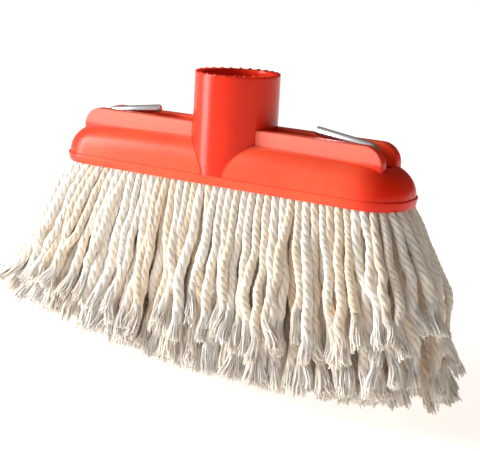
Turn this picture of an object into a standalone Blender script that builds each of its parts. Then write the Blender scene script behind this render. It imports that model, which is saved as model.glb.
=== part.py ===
"""String mop: a moulded head, a clamp wire and cotton strings folded over the wire.

Lengths are in millimetres and become metres when a mesh is made. X runs along the head, -Y is the front
and +Z is up. The strings' lower ends rest on Z = 0.
"""
import math

import bmesh
import bpy
from mathutils import Vector

MM = 0.001

# Heights above the floor, and the clearance between pieces that touch.
HEAD_BASE_Z = 75.0
GAP = 0.32

# Base of the head.
HEAD_LENGTH = 141.2
HEAD_WIDTH = 30.8
HEAD_CORNER_RADIUS = 13.5
LIP_HEIGHT = 3.55
LIP_DRAFT = 0.4
LIP_STEP = 0.35
SHOULDER_RISE = 11.85
SHOULDER_INSET_X = 10.5
SHOULDER_INSET_Y = 8.2
DECK_ARCH = 2.0
WALL = 3.0
ROOF_WALL = 5.2

# Ridges on the base, with the channel for the wire ends between them.
RIDGE_HEIGHT = 5.15
RIDGE_THICKNESS = 4.0
RIDGE_ROOT = 0.6
CHANNEL_WIDTH = 8.0
RIDGE_END_INSET = 8.5
RIDGE_END_RADIUS = 6.8

# Handle socket.
BORE_RADIUS = 12.5
SOCKET_WALL = 2.75
SOCKET_DRAFT = 0.12
SOCKET_HEIGHT = 38.9
BORE_DRAFT = 0.3
BORE_FLOOR_WALL = 2.8
TOOTH_COUNT = 26
TOOTH_WIDTH = 1.0
TOOTH_HEIGHT = 0.6

# Clamp wire.
WIRE_DIAMETER = 3.2
WIRE_LEG_INSET = 14.1
WIRE_END_REACH = 23.3
WIRE_TIP_RISE = 1.65
WIRE_SLOPE = 0.142
FOLD_SPACE = 2.8
WIRE_BEND_RADIUS = 3.3
WIRE_CLEARANCE = 0.35
SLOT_INNER_PLAY = 1.0
SLOT_OUTER_PLAY = 3.8
SLOT_SIDE_PLAY = 0.6

# Strings. The core is folded over the wire; the outer strings hang round it and swing.
OUTER_THICKNESS = 5.0
CORE_INSET_X = 8.2
CORE_INSET_Y = 6.2
CORE_FLARE_X = 23.6
CORE_FLARE_Y = 11.9
OUTER_SWELL_X = 18.0
OUTER_SWELL_Y = 8.9
FLARE_POWER = 0.85
OUTER_SIDE_END_Z = 10.0
OUTER_END_END_Z = 13.0
LEG_SPLIT_TOP = 0.9
LEG_SPLIT_FLOOR = 4.0
CORE_BUNCHES = 11
SIDE_BUNCHES = 12
END_BUNCHES = 3

# Derived sizes.
HALF_LENGTH = HEAD_LENGTH / 2
HALF_WIDTH = HEAD_WIDTH / 2
DECK_HEIGHT = LIP_HEIGHT + SHOULDER_RISE
RIDGE_TOP = DECK_HEIGHT + RIDGE_HEIGHT
ROOF_HEIGHT = DECK_HEIGHT - ROOF_WALL
BORE_FLOOR = ROOF_HEIGHT + BORE_FLOOR_WALL
SOCKET_TOP_RADIUS = BORE_RADIUS + SOCKET_WALL
WIRE_RADIUS = WIRE_DIAMETER / 2
WIRE_HEIGHT = ROOF_HEIGHT - FOLD_SPACE - WIRE_RADIUS
WIRE_LEG_X = HALF_LENGTH - WIRE_LEG_INSET
WIRE_TIP_X = WIRE_LEG_X - WIRE_END_REACH
WIRE_TIP_HEIGHT = RIDGE_TOP + WIRE_TIP_RISE
CORE_HALF_X_TOP = HALF_LENGTH - CORE_INSET_X
CORE_HALF_Y_TOP = HALF_WIDTH - CORE_INSET_Y
CORE_HALF_X_FLOOR = CORE_HALF_X_TOP + CORE_FLARE_X
CORE_HALF_Y_FLOOR = CORE_HALF_Y_TOP + CORE_FLARE_Y
HINGE_RADIUS = OUTER_THICKNESS / 2
HINGE_Z = HEAD_BASE_Z - GAP - HINGE_RADIUS
HINGE_Y = CORE_HALF_Y_TOP + GAP + HINGE_RADIUS
HINGE_X = CORE_HALF_X_TOP + GAP + HINGE_RADIUS
OUTER_HALF_X_FLOOR = CORE_HALF_X_FLOOR + OUTER_THICKNESS + OUTER_SWELL_X
OUTER_HALF_Y_FLOOR = CORE_HALF_Y_FLOOR + OUTER_THICKNESS + OUTER_SWELL_Y
CAVITY_CORE_HALF_X = WIRE_LEG_X - WIRE_BEND_RADIUS - GAP

PLASTIC = ((0.83, 0.085, 0.022), 0.32, 0.0)
STEEL = ((0.62, 0.63, 0.64), 0.3, 1.0)
COTTON = ((0.80, 0.75, 0.66), 0.92, 0.0)


def clear_scene():
    """Remove whatever the scene holds at the start."""
    for item in list(bpy.data.objects):
        bpy.data.objects.remove(item, do_unlink=True)


def make_material(name, look, tone=1.0):
    """Make one plain surface from a colour, a roughness and a metallic value."""
    colour, roughness, metallic = look
    material = bpy.data.materials.new(name)
    material.use_nodes = True
    shader = material.node_tree.nodes["Principled BSDF"]
    shader.inputs["Base Color"].default_value = (*(min(1.0, c * tone) for c in colour), 1.0)
    shader.inputs["Roughness"].default_value = roughness
    shader.inputs["Metallic"].default_value = metallic
    return material


def add_object(name, vertices, faces, look, origin=(0.0, 0.0, 0.0), tone=1.0):
    """Make a mesh object from points in millimetres, with its origin where it turns."""
    mesh = bpy.data.meshes.new(name)
    start = Vector(origin)
    mesh.from_pydata([(Vector(v) - start) * MM for v in vertices], [], faces)
    build = bmesh.new()
    build.from_mesh(mesh)
    bmesh.ops.recalc_face_normals(build, faces=build.faces)
    build.to_mesh(mesh)
    build.free()
    item = bpy.data.objects.new(name, mesh)
    item.location = start * MM
    bpy.context.scene.collection.objects.link(item)
    if look is not None:
        mesh.materials.append(make_material(name + "_surface", look, tone))
    return item


def shade(item, angle=35.0):
    """Shade smooth, keeping edges sharper than the angle."""
    build = bmesh.new()
    build.from_mesh(item.data)
    limit = math.radians(angle)
    for face in build.faces:
        face.smooth = True
    for edge in build.edges:
        edge.smooth = len(edge.link_faces) == 2 and edge.calc_face_angle(0.0) < limit
    build.to_mesh(item.data)
    build.free()


def rounded_ring(half_x, half_y, radius, height, steps=10, spans=1):
    """List the points round a rounded rectangle, with its long sides divided into spans."""
    points = []
    for sign_x, sign_y, start in ((1, 1, 0), (-1, 1, 90), (-1, -1, 180), (1, -1, 270)):
        for step in range(steps + 1):
            angle = math.radians(start + 90.0 * step / steps)
            x = sign_x * (half_x - radius) + radius * math.cos(angle)
            y = sign_y * (half_y - radius) + radius * math.sin(angle)
            points.append((x, y, height))
        if sign_x == sign_y:
            end = (half_x - radius) * sign_x
            points += [(end - 2 * end * i / spans, sign_y * half_y, height) for i in range(1, spans)]
    return points


def loft(rings):
    """Join rings with equal numbers of points, and close both ends."""
    count = len(rings[0])
    vertices = [point for ring in rings for point in ring]
    faces = [tuple(range(count)), tuple((len(rings) - 1) * count + i for i in range(count))]
    for level in range(len(rings) - 1):
        for i in range(count):
            j = (i + 1) % count
            low = level * count
            high = low + count
            faces.append((low + i, low + j, high + j, high + i))
    return vertices, faces


def circle_ring(radius, height, count=96):
    """List the points round a level circle."""
    turns = [2 * math.pi * i / count for i in range(count)]
    return [(radius * math.cos(t), radius * math.sin(t), height) for t in turns]


def box(low, high):
    """Give the corners and faces of a box."""
    ring = [(low[0], low[1]), (high[0], low[1]), (high[0], high[1]), (low[0], high[1])]
    return loft([[(x, y, low[2]) for x, y in ring], [(x, y, high[2]) for x, y in ring]])


def raised(shape):
    """Lift a shape that is measured from the bottom of the head."""
    vertices, faces = shape
    return [(x, y, z + HEAD_BASE_Z) for x, y, z in vertices], faces


def bowed(ring, share):
    """Lower a ring towards its ends, so that the base is highest in the middle."""
    return [(x, y, z - share * DECK_ARCH * (x / (HALF_LENGTH - RIDGE_END_INSET)) ** 2) for x, y, z in ring]


def base_shape(spans=12):
    """Make the outside of the base: the lip, then the rounded shoulder, bowed along its length."""
    low, radius = LIP_DRAFT, HEAD_CORNER_RADIUS
    rings = [rounded_ring(HALF_LENGTH - low, HALF_WIDTH - low, radius, 0.0, spans=spans)]
    rings.append(rounded_ring(HALF_LENGTH, HALF_WIDTH, radius, LIP_HEIGHT - LIP_STEP, spans=spans))
    for step in range(11):
        angle = math.radians(90.0 * step / 10)
        inset = 1.0 - math.cos(angle)
        half_x = HALF_LENGTH - LIP_STEP - (SHOULDER_INSET_X - LIP_STEP) * inset
        half_y = HALF_WIDTH - LIP_STEP - (SHOULDER_INSET_Y - LIP_STEP) * inset
        radius = HEAD_CORNER_RADIUS * (1.0 - 0.5 * inset)
        share = math.sin(angle)
        ring = rounded_ring(half_x, half_y, radius, LIP_HEIGHT + SHOULDER_RISE * share, spans=spans)
        rings.append(bowed(ring, share))
    vertices, faces = loft(rings)
    last = len(vertices) - 1
    top = last + 1 - len(rings[0])
    faces[1:2] = [(top + i, top + i + 1, last - i - 1, last - i) for i in range(len(rings[0]) // 2 - 1)]
    return vertices, faces


def hollow_shape():
    """Make the space under the base that takes the folded strings."""
    rings = [rounded_ring(HALF_LENGTH - WALL, HALF_WIDTH - WALL, HEAD_CORNER_RADIUS - WALL, -1.0)]
    straight = ROOF_HEIGHT * 0.4
    for step in range(7):
        angle = math.radians(90.0 * step / 6)
        inset = 1.0 - math.cos(angle)
        half_x = HALF_LENGTH - WALL - (SHOULDER_INSET_X - WALL) * inset
        half_y = HALF_WIDTH - WALL - (SHOULDER_INSET_Y - WALL) * 0.8 * inset
        radius = (HEAD_CORNER_RADIUS - WALL) * (1.0 - 0.5 * inset)
        height = straight + (ROOF_HEIGHT - straight) * math.sin(angle)
        rings.append(rounded_ring(half_x, half_y, radius, height))
    return loft(rings)


def ridge_shape(side):
    """Make one ridge, with its ends rounded off, along the base."""
    end = HALF_LENGTH - RIDGE_END_INSET
    centre = end - RIDGE_END_RADIUS
    floor = ROOF_HEIGHT + RIDGE_ROOT
    outline = [(end, floor)]
    for step in range(11):
        angle = math.radians(90.0 * step / 10)
        low = RIDGE_TOP - RIDGE_END_RADIUS
        outline.append((centre + RIDGE_END_RADIUS * math.cos(angle), low + RIDGE_END_RADIUS * math.sin(angle)))
    outline += [(-x, z) for x, z in reversed(outline)]
    near = side * CHANNEL_WIDTH / 2
    far = side * (CHANNEL_WIDTH / 2 + RIDGE_THICKNESS)
    return loft([[(x, near, z) for x, z in outline], [(x, far, z) for x, z in outline]])


def tooth_shape(index):
    """Make one of the low teeth on the socket's rim."""
    angle = 2 * math.pi * (index + 0.5) / TOOTH_COUNT
    along = Vector((math.cos(angle), math.sin(angle), 0.0))
    across = Vector((-math.sin(angle), math.cos(angle), 0.0))
    rings = []
    for height, half in ((SOCKET_HEIGHT - 0.8, 0.5), (SOCKET_HEIGHT + TOOTH_HEIGHT, 0.3)):
        ring = []
        for reach, side in ((-1, -1), (0, -1), (0, 1), (-1, 1)):
            radius = SOCKET_TOP_RADIUS - 0.12 if reach == 0 else BORE_RADIUS - 0.8
            point = along * radius + across * side * half * TOOTH_WIDTH
            ring.append((point.x, point.y, height))
        rings.append(ring)
    return loft(rings)


def combine(target, tool, operation):
    """Apply one exact Boolean and remove the tool."""
    step = target.modifiers.new(operation, "BOOLEAN")
    step.operation = operation
    step.solver = "EXACT"
    step.object = tool
    graph = bpy.context.evaluated_depsgraph_get()
    result = bpy.data.meshes.new_from_object(target.evaluated_get(graph))
    target.modifiers.clear()
    target.data = result
    bpy.data.objects.remove(tool, do_unlink=True)


def tidy_mesh(item):
    """Weld points left together by the Booleans."""
    build = bmesh.new()
    build.from_mesh(item.data)
    bmesh.ops.remove_doubles(build, verts=build.verts, dist=2e-6)
    bmesh.ops.dissolve_degenerate(build, edges=build.edges, dist=2e-6)
    bmesh.ops.triangulate(build, faces=[f for f in build.faces if len(f.verts) > 4])
    bmesh.ops.recalc_face_normals(build, faces=build.faces)
    build.to_mesh(item.data)
    build.free()


def make_head():
    """Make the head moulding: base, ridges and socket, then the spaces cut from them."""
    head = add_object("head_moulding", *raised(base_shape()), PLASTIC)
    for side in (-1, 1):
        combine(head, add_object("ridge", *raised(ridge_shape(side)), None), "UNION")
    outside = loft([
        circle_ring(SOCKET_TOP_RADIUS + SOCKET_DRAFT, LIP_HEIGHT * 0.5),
        circle_ring(SOCKET_TOP_RADIUS, SOCKET_HEIGHT),
    ])
    combine(head, add_object("socket", *raised(outside), None), "UNION")
    for index in range(TOOTH_COUNT):
        combine(head, add_object("tooth", *raised(tooth_shape(index)), None), "UNION")
    bore = loft([
        circle_ring(BORE_RADIUS - BORE_DRAFT, BORE_FLOOR),
        circle_ring(BORE_RADIUS, SOCKET_HEIGHT),
        circle_ring(BORE_RADIUS, SOCKET_HEIGHT + 2.0),
    ])
    combine(head, add_object("bore", *raised(bore), None), "DIFFERENCE")
    combine(head, add_object("hollow", *raised(hollow_shape()), None), "DIFFERENCE")
    for side in (-1, 1):
        inner = side * (WIRE_LEG_X - WIRE_RADIUS - SLOT_INNER_PLAY)
        outer = side * (WIRE_LEG_X + WIRE_RADIUS + SLOT_OUTER_PLAY)
        half = WIRE_RADIUS + SLOT_SIDE_PLAY
        low = (min(inner, outer), -half, ROOF_HEIGHT * 0.5)
        high = (max(inner, outer), half, RIDGE_TOP)
        combine(head, add_object("slot", *raised(box(low, high)), None), "DIFFERENCE")
    tidy_mesh(head)
    shade(head)


def filleted(corners, radii, steps=6):
    """Round the corners of a path in the XZ plane."""
    path = [Vector(corners[0])]
    for i in range(1, len(corners) - 1):
        here = Vector(corners[i])
        back = (Vector(corners[i - 1]) - here).normalized()
        ahead = (Vector(corners[i + 1]) - here).normalized()
        half = back.angle(ahead) / 2
        reach = radii[i] / math.tan(half)
        centre = here + (back + ahead).normalized() * radii[i] / math.sin(half)
        first = here + back * reach - centre
        last = here + ahead * reach - centre
        for step in range(steps + 1):
            path.append(centre + first.slerp(last, step / steps).normalized() * radii[i])
    path.append(Vector(corners[-1]))
    return path


def tube(path, radius, count=16):
    """Sweep a circle along a path that stays in the XZ plane."""
    side = Vector((0.0, 1.0, 0.0))
    rings = []
    for i, point in enumerate(path):
        ahead = path[min(i + 1, len(path) - 1)] - point
        back = point - path[max(i - 1, 0)]
        run = (ahead.normalized() + back.normalized()).normalized()
        lift = run.cross(side).normalized()
        turns = [2 * math.pi * k / count for k in range(count)]
        rings.append([tuple(point + (side * math.cos(t) + lift * math.sin(t)) * radius) for t in turns])
    return loft(rings)


def make_wire():
    """Make the clamp wire, with both ends bent over towards the socket."""
    knee = WIRE_TIP_HEIGHT - WIRE_SLOPE * (WIRE_LEG_X - WIRE_TIP_X)
    half = [(WIRE_TIP_X, WIRE_TIP_HEIGHT), (WIRE_LEG_X, knee), (WIRE_LEG_X, WIRE_HEIGHT)]
    points = [(-x, 0.0, z + HEAD_BASE_Z) for x, z in half]
    points += [(x, 0.0, z + HEAD_BASE_Z) for x, z in reversed(half)]
    path = filleted(points, [WIRE_BEND_RADIUS] * len(points))
    wire = add_object("clamp_wire", *tube(path, WIRE_RADIUS), STEEL)
    shade(wire)


def spread(height, top, floor, top_height):
    """Give how far out the strings reach at a height, flaring from the top value to the floor value."""
    share = max(0.0, (top_height - height) / top_height)
    return top + (floor - top) * share ** FLARE_POWER


def core_half_x(height):
    """Give half the core's length at a height, narrowing where it enters the hollow head."""
    entry = HEAD_BASE_Z + 3.0
    if height >= entry:
        return CAVITY_CORE_HALF_X
    if height > HINGE_Z:
        share = (entry - height) / (entry - HINGE_Z)
        return CAVITY_CORE_HALF_X + (CORE_HALF_X_TOP - CAVITY_CORE_HALF_X) * share
    return spread(height, CORE_HALF_X_TOP, CORE_HALF_X_FLOOR, HINGE_Z)


def core_half_y(height):
    """Give half the core's depth at a height."""
    return spread(height, CORE_HALF_Y_TOP, CORE_HALF_Y_FLOOR, HINGE_Z)


def cell_edges(index, count, half):
    """Give the two ends of one bunch's share of a length, with half a gap off each."""
    width = 2 * half / count
    low = -half + index * width
    return low + GAP / 2, low + width - GAP / 2


def core_section():
    """List the outer and inner points of a folded bunch, from the front floor to the back floor."""
    half = []
    for height in (0.0, 14.0, 28.0, 42.0, 54.0, 64.0, HINGE_Z):
        share = height / HEAD_BASE_Z
        split = LEG_SPLIT_FLOOR + (LEG_SPLIT_TOP - LEG_SPLIT_FLOOR) * share
        half.append(((core_half_y(height), height), (split / 2, height)))
    entry = HEAD_BASE_Z + 3.0
    half.append(((CORE_HALF_Y_TOP, entry), (LEG_SPLIT_TOP / 2, entry)))
    wire_z = HEAD_BASE_Z + WIRE_HEIGHT
    ring = WIRE_RADIUS + WIRE_CLEARANCE
    rise = ROOF_HEIGHT - WIRE_HEIGHT - GAP - 0.1
    for angle in (-35.0, 0.0, 30.0, 60.0):
        turn = math.radians(angle)
        lift = rise * math.sin(turn) if angle > 0 else 1.5 * math.sin(turn)
        outer = (CORE_HALF_Y_TOP * math.cos(turn * 0.9), wire_z + lift)
        half.append((outer, (ring * math.cos(turn), wire_z + ring * math.sin(turn))))
    middle = ((0.0, wire_z + rise), (0.0, wire_z + ring))
    front = [((-o[0], o[1]), (-i[0], i[1])) for o, i in half]
    return front + [middle] + list(reversed(half))


def make_core_bunch(index):
    """Make one bunch folded over the wire, with a front leg and a back leg."""
    rings = []
    for outer, inner in core_section():
        ring = []
        for (y, z), end in ((outer, 0), (outer, 1), (inner, 1), (inner, 0)):
            ring.append((cell_edges(index, CORE_BUNCHES, core_half_x(z))[end], y, z))
        rings.append(ring)
    name = "core_strings_%02d" % (index + 1)
    tone = 1.0 - 0.05 * (index % 2)
    shade(add_object(name, *loft(rings), COTTON, tone=tone), 30.0)


def outer_profile(near_half, far_half, far_top, end_z):
    """List a hanging layer's inner and outer reach at each height, with a round head on the hinge."""
    centre = near_half(HINGE_Z) + GAP + HINGE_RADIUS
    profile = []
    for angle in (80.0, 55.0, 30.0):
        turn = math.radians(angle)
        half = HINGE_RADIUS * math.cos(turn)
        profile.append((centre - half, centre + half, HINGE_Z + HINGE_RADIUS * math.sin(turn)))
    steps = 7
    for step in range(steps):
        height = HINGE_Z + (end_z - HINGE_Z) * step / (steps - 1)
        far = spread(height, far_top, far_half, HINGE_Z)
        profile.append((near_half(height) + GAP, far, height))
    return profile


def make_side_bunch(side, index):
    """Make one bunch of the swinging strings along the front or the back."""
    far_top = HINGE_Y + HINGE_RADIUS
    rings = []
    for near, far, z in outer_profile(core_half_y, OUTER_HALF_Y_FLOOR, far_top, OUTER_SIDE_END_Z):
        low, high = cell_edges(index, SIDE_BUNCHES, core_half_x(min(z, HINGE_Z)))
        rings.append([(low, side * near, z), (high, side * near, z), (high, side * far, z), (low, side * far, z)])
    name = "%s_strings_%02d" % ("front" if side < 0 else "back", index + 1)
    origin = (0.0, side * HINGE_Y, HINGE_Z)
    tone = 1.02 - 0.05 * (index % 2)
    shade(add_object(name, *loft(rings), COTTON, origin, tone), 30.0)


def make_end_bunch(side, index):
    """Make one bunch of the swinging strings at the left or the right end."""
    far_top = HINGE_X + HINGE_RADIUS
    rings = []
    for near, far, z in outer_profile(core_half_x, OUTER_HALF_X_FLOOR, far_top, OUTER_END_END_Z):
        low, high = cell_edges(index, END_BUNCHES, core_half_y(min(z, HINGE_Z)))
        rings.append([(side * near, low, z), (side * near, high, z), (side * far, high, z), (side * far, low, z)])
    name = "%s_end_strings_%d" % ("left" if side < 0 else "right", index + 1)
    origin = (side * HINGE_X, 0.0, HINGE_Z)
    tone = 1.02 - 0.05 * (index % 2)
    shade(add_object(name, *loft(rings), COTTON, origin, tone), 30.0)


def build():
    """Make every piece of the mop."""
    clear_scene()
    make_head()
    make_wire()
    for index in range(CORE_BUNCHES):
        make_core_bunch(index)
    for side in (-1, 1):
        for index in range(SIDE_BUNCHES):
            make_side_bunch(side, index)
        for index in range(END_BUNCHES):
            make_end_bunch(side, index)


build()
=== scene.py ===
"""String mop: moulded head, clamp wire and every cotton string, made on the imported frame."""

import math

import bmesh
import bpy
import numpy as np
from mathutils import Matrix, Vector


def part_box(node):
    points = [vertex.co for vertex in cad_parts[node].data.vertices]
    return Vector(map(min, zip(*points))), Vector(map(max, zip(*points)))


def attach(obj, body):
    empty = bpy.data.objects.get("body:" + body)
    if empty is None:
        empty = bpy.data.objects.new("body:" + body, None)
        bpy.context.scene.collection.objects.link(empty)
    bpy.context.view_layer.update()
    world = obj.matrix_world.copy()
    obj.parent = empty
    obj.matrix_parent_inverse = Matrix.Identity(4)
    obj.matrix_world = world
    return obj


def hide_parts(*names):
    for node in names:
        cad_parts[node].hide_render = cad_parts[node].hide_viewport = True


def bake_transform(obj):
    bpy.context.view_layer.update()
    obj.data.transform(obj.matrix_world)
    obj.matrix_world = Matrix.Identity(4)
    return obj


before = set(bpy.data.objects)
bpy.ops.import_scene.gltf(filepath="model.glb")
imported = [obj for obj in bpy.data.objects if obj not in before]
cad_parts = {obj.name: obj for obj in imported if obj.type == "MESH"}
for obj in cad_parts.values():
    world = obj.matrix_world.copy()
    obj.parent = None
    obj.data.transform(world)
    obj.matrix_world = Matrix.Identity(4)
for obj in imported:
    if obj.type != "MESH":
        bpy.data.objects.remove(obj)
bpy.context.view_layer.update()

bl_info = {
    "name": "String Mop",
    "version": (1, 0, 0),
    "blender": (4, 5, 0),
    "location": "View3D > Sidebar > Mop",
    "description": "Makes a string mop head with a clamp wire and twisted cotton strings",
    "category": "Object",
}

MM = 0.001
HEAD_LOW, HEAD_HIGH = (np.array(corner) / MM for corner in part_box("head_moulding"))
BASE_Z = float(HEAD_LOW[2])
HALF_LENGTH = float(HEAD_HIGH[0])
HALF_WIDTH = float(HEAD_HIGH[1])

# The head, in millimetres, with heights from its underside.
LIP_HEIGHT = 3.55
LIP_STEP = 0.5
SHOULDER_RISE = 11.85
SHOULDER_END_INSET = 10.0
SHOULDER_SIDE_INSET = 7.7
DECK_BOW = 2.0
CORNER_RADIUS = 13.5
WALL = 3.0
ROOF_HEIGHT = 10.2
ROOF_END_INSET = 7.5
ROOF_SIDE_INSET = 4.16
RIDGE_TOP = 20.55
RIDGE_FOOT = 10.8
RIDGE_START = 12.2
RIDGE_END = HALF_LENGTH - 8.5
RIDGE_END_RADIUS = 6.8
RIDGE_MIDDLE = 6.0
RIDGE_HALF_THICKNESS = 2.0
SLOT_NEAR = 53.9
SLOT_FAR = 61.9
SLOT_HALF_WIDTH = 2.2
SOCKET_HEIGHT = 38.9
SOCKET_RADIUS = 15.25
BORE_RADIUS = 12.5
TOOTH_COUNT = 26
TOOTH_HEIGHT = 0.42

# The clamp wire.
WIRE_RADIUS = 1.6
WIRE_BEND_RADIUS = 3.3
WIRE_BOTTOM = 6.0
WIRE_LEG = HALF_LENGTH - 14.1
WIRE_TIP = WIRE_LEG - 23.3
WIRE_TIP_HEIGHT = RIDGE_TOP + 1.65
WIRE_TIP_SLOPE = 0.142

# The strings: bunches and how the legs hang.
CORE_BUNCHES = 11
SIDE_BUNCHES = 12
END_BUNCHES = 3
CORE_TOP_X = 62.4
CORE_TOP_Y = 9.2
LEG_POINTS = 28
LONGEST_DROP = BASE_Z - 2.6
PULL_HEIGHTS = (7.0, 5.0, 3.0, 1.3)  # of the first four points, inside the head
PULL_DEPTHS = (3.4, 2.6, 1.7, 0.8)  # of the same points, inward from the rim
WAVES = ((1.5, 0.8), (0.95, 2.1), (0.42, 4.6))  # size, and turns along the leg
LEFT_SPREAD = 23.0
RIM_RIGHT_SPREAD = 16.5
CORE_RIGHT_SPREAD = 15.0
# Each row round the rim: inset from the ends and from the sides, pitch, outward swell, flare share.
RIM_ROWS = ((2.2, 2.1, 3.0, 11.5, 1.0), (4.2, 4.0, 3.0, 11.2, 0.9), (6.2, 5.9, 3.4, 10.4, 0.8))
# Each row of the core: how far from the middle plane its tops and its feet are.
CORE_ROWS = ((6.4, 16.5), (4.0, 11.0), (1.5, 4.0))
END_DIRECTION = 0.72  # a leg that points this far along the head belongs to an end group

# How finely the strings are made, in metres and counts.
PLY_SHARE = 0.295
FINE = {"Step": 0.0013, "Sides": 6, "Fray Strands": 42}
COARSE = {"Step": 0.0020, "Sides": 5, "Fray Strands": 24}


class HeadSettings(bpy.types.PropertyGroup):
    """Sizes and colours of the moulded head and its wire."""

    plastic_colour: bpy.props.FloatVectorProperty(
        name="Plastic", description="Colour of the moulded plastic", subtype="COLOR",
        default=(0.83, 0.027, 0.003), min=0, max=1,
    )
    plastic_roughness: bpy.props.FloatProperty(
        name="Plastic roughness", description="Average roughness of the plastic",
        default=0.33, min=0, max=1,
    )
    edge_radius: bpy.props.FloatProperty(
        name="Edge radius", description="Radius of the moulded edges",
        default=0.0007, subtype="DISTANCE", unit="LENGTH",
    )
    wire_colour: bpy.props.FloatVectorProperty(
        name="Wire", description="Colour of the galvanised wire", subtype="COLOR",
        default=(0.66, 0.67, 0.69), min=0, max=1,
    )


class StringSettings(bpy.types.PropertyGroup):
    """Sizes and colours of the cotton strings."""

    diameter: bpy.props.FloatProperty(
        name="Diameter", description="Diameter of one string",
        default=0.0034, subtype="DISTANCE", unit="LENGTH",
    )
    plies: bpy.props.IntProperty(
        name="Plies", description="Yarns twisted into one string", default=4, min=2, max=6,
    )
    lay: bpy.props.FloatProperty(
        name="Lay", description="Length of one full turn of the twist",
        default=0.0112, subtype="DISTANCE", unit="LENGTH",
    )
    fray_length: bpy.props.FloatProperty(
        name="Fray", description="Length of the open end of a string",
        default=0.013, subtype="DISTANCE", unit="LENGTH",
    )
    light_colour: bpy.props.FloatVectorProperty(
        name="Light cotton", description="Colour of the lightest strings", subtype="COLOR",
        default=(0.90, 0.81, 0.715), min=0, max=1,
    )
    dark_colour: bpy.props.FloatVectorProperty(
        name="Dark cotton", description="Colour of the darkest strings", subtype="COLOR",
        default=(0.80, 0.605, 0.43), min=0, max=1,
    )
    seed: bpy.props.IntProperty(
        name="Seed", description="Changes how the strings fall", default=7, min=0,
    )


class StageSettings(bpy.types.PropertyGroup):
    """The floor, the light and the camera."""

    floor_colour: bpy.props.FloatVectorProperty(
        name="Floor", description="Colour of the floor", subtype="COLOR",
        default=(0.76, 0.76, 0.76), min=0, max=1,
    )
    floor_glow: bpy.props.FloatProperty(
        name="Floor glow", description="Light given off by the floor, which keeps shadows pale",
        default=0.80, min=0,
    )
    sky: bpy.props.FloatProperty(
        name="Sky", description="Strength of the light from all round", default=0.23, min=0,
    )
    sky_colour: bpy.props.FloatVectorProperty(
        name="Sky colour", description="Colour of the light from all round", subtype="COLOR",
        default=(1.0, 0.84, 0.70), min=0, max=1,
    )
    key: bpy.props.FloatProperty(
        name="Key", description="Strength of the soft main light", default=1.1, min=0,
    )
    panel: bpy.props.FloatProperty(
        name="Panel", description="Power of the tall soft panel", default=1.5, min=0,
    )
    focal: bpy.props.FloatProperty(
        name="Focal length", description="Camera lens in millimetres", default=92.49, min=10,
    )


class Value:
    """A number on a node socket, so that node maths reads as Python."""

    def __init__(self, nodes, socket):
        self.nodes = nodes
        self.socket = socket

    def _math(self, operation, *others):
        inputs = dict(enumerate((self, *others)))
        return self.nodes.get("ShaderNodeMath", {"operation": operation}, inputs)

    def __add__(self, other):
        return self._math("ADD", other)

    __radd__ = __add__

    def __sub__(self, other):
        return self._math("SUBTRACT", other)

    def __rsub__(self, other):
        return self.nodes.get("ShaderNodeMath", {"operation": "SUBTRACT"}, {0: other, 1: self})

    def __mul__(self, other):
        return self._math("MULTIPLY", other)

    __rmul__ = __mul__

    def __truediv__(self, other):
        return self._math("DIVIDE", other)

    def __pow__(self, other):
        return self._math("POWER", other)

    def sin(self):
        """Give the sine."""
        return self._math("SINE")

    def cos(self):
        """Give the cosine."""
        return self._math("COSINE")

    def between(self, low, high):
        """Run smoothly from 0 to 1 as the value goes from low to high."""
        settings = {"interpolation_type": "SMOOTHSTEP"}
        return self.nodes.get("ShaderNodeMapRange", settings, {0: self, 1: low, 2: high})


class Nodes:
    """Adds nodes to one tree and joins their sockets."""

    def __init__(self, tree):
        self.tree = tree

    def add(self, kind, settings=None, inputs=None):
        """Add one node, with its settings first and then its socket values or links."""
        node = self.tree.nodes.new(kind)
        for name, value in (settings or {}).items():
            setattr(node, name, value)
        for key, value in (inputs or {}).items():
            socket = node.inputs[key]
            source = value.socket if isinstance(value, Value) else value
            if isinstance(source, bpy.types.NodeSocket):
                self.tree.links.new(source, socket)
            else:
                socket.default_value = source
        return node

    def get(self, kind, settings=None, inputs=None, output=0):
        """Add one node and give one of its outputs."""
        return Value(self, self.add(kind, settings, inputs).outputs[output])

    def vector(self, operation, *values, output=0):
        """Add one vector operation; the factor of a SCALE goes into the fourth socket."""
        inputs = {(3 if operation == "SCALE" and i == 1 else i): v for i, v in enumerate(values)}
        return self.get("ShaderNodeVectorMath", {"operation": operation}, inputs, output)

    def join(self, x, y, z):
        """Make a vector from three values."""
        return self.get("ShaderNodeCombineXYZ", None, {0: x, 1: y, 2: z})

    def mix(self, share, first, second):
        """Mix two colours, through the node's own colour sockets."""
        return self.get("ShaderNodeMix", {"data_type": "RGBA"}, {0: share, 6: first, 7: second}, 2)

    def noise(self, place, scale, detail=2.0, roughness=0.5):
        """Give a soft random value at a place."""
        inputs = {"Vector": place, "Scale": scale, "Detail": detail, "Roughness": roughness}
        return self.get("ShaderNodeTexNoise", None, inputs)

    def attribute(self, name):
        """Give one of the piece's own values."""
        return self.get("ShaderNodeAttribute", {"attribute_name": name}, None, 2)

    def bump(self, strength, distance, height):
        """Give a normal that is tilted by a height."""
        inputs = {"Strength": strength, "Distance": distance, "Height": height}
        return self.get("ShaderNodeBump", None, inputs)

    def feed(self, shader, values):
        """Link values to a shader's sockets, and set plain numbers and colours on them."""
        for name, value in values.items():
            if isinstance(value, Value):
                self.tree.links.new(value.socket, shader.inputs[name])
            else:
                shader.inputs[name].default_value = value


def new_material(name):
    """Start a material, and give its nodes and its Principled shader."""
    material = bpy.data.materials.new(name)
    material.use_nodes = True
    nodes = Nodes(material.node_tree)
    return material, nodes, material.node_tree.nodes["Principled BSDF"]


def colour(values):
    """Give a colour with its alpha."""
    return (*values[:3], 1.0)


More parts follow.
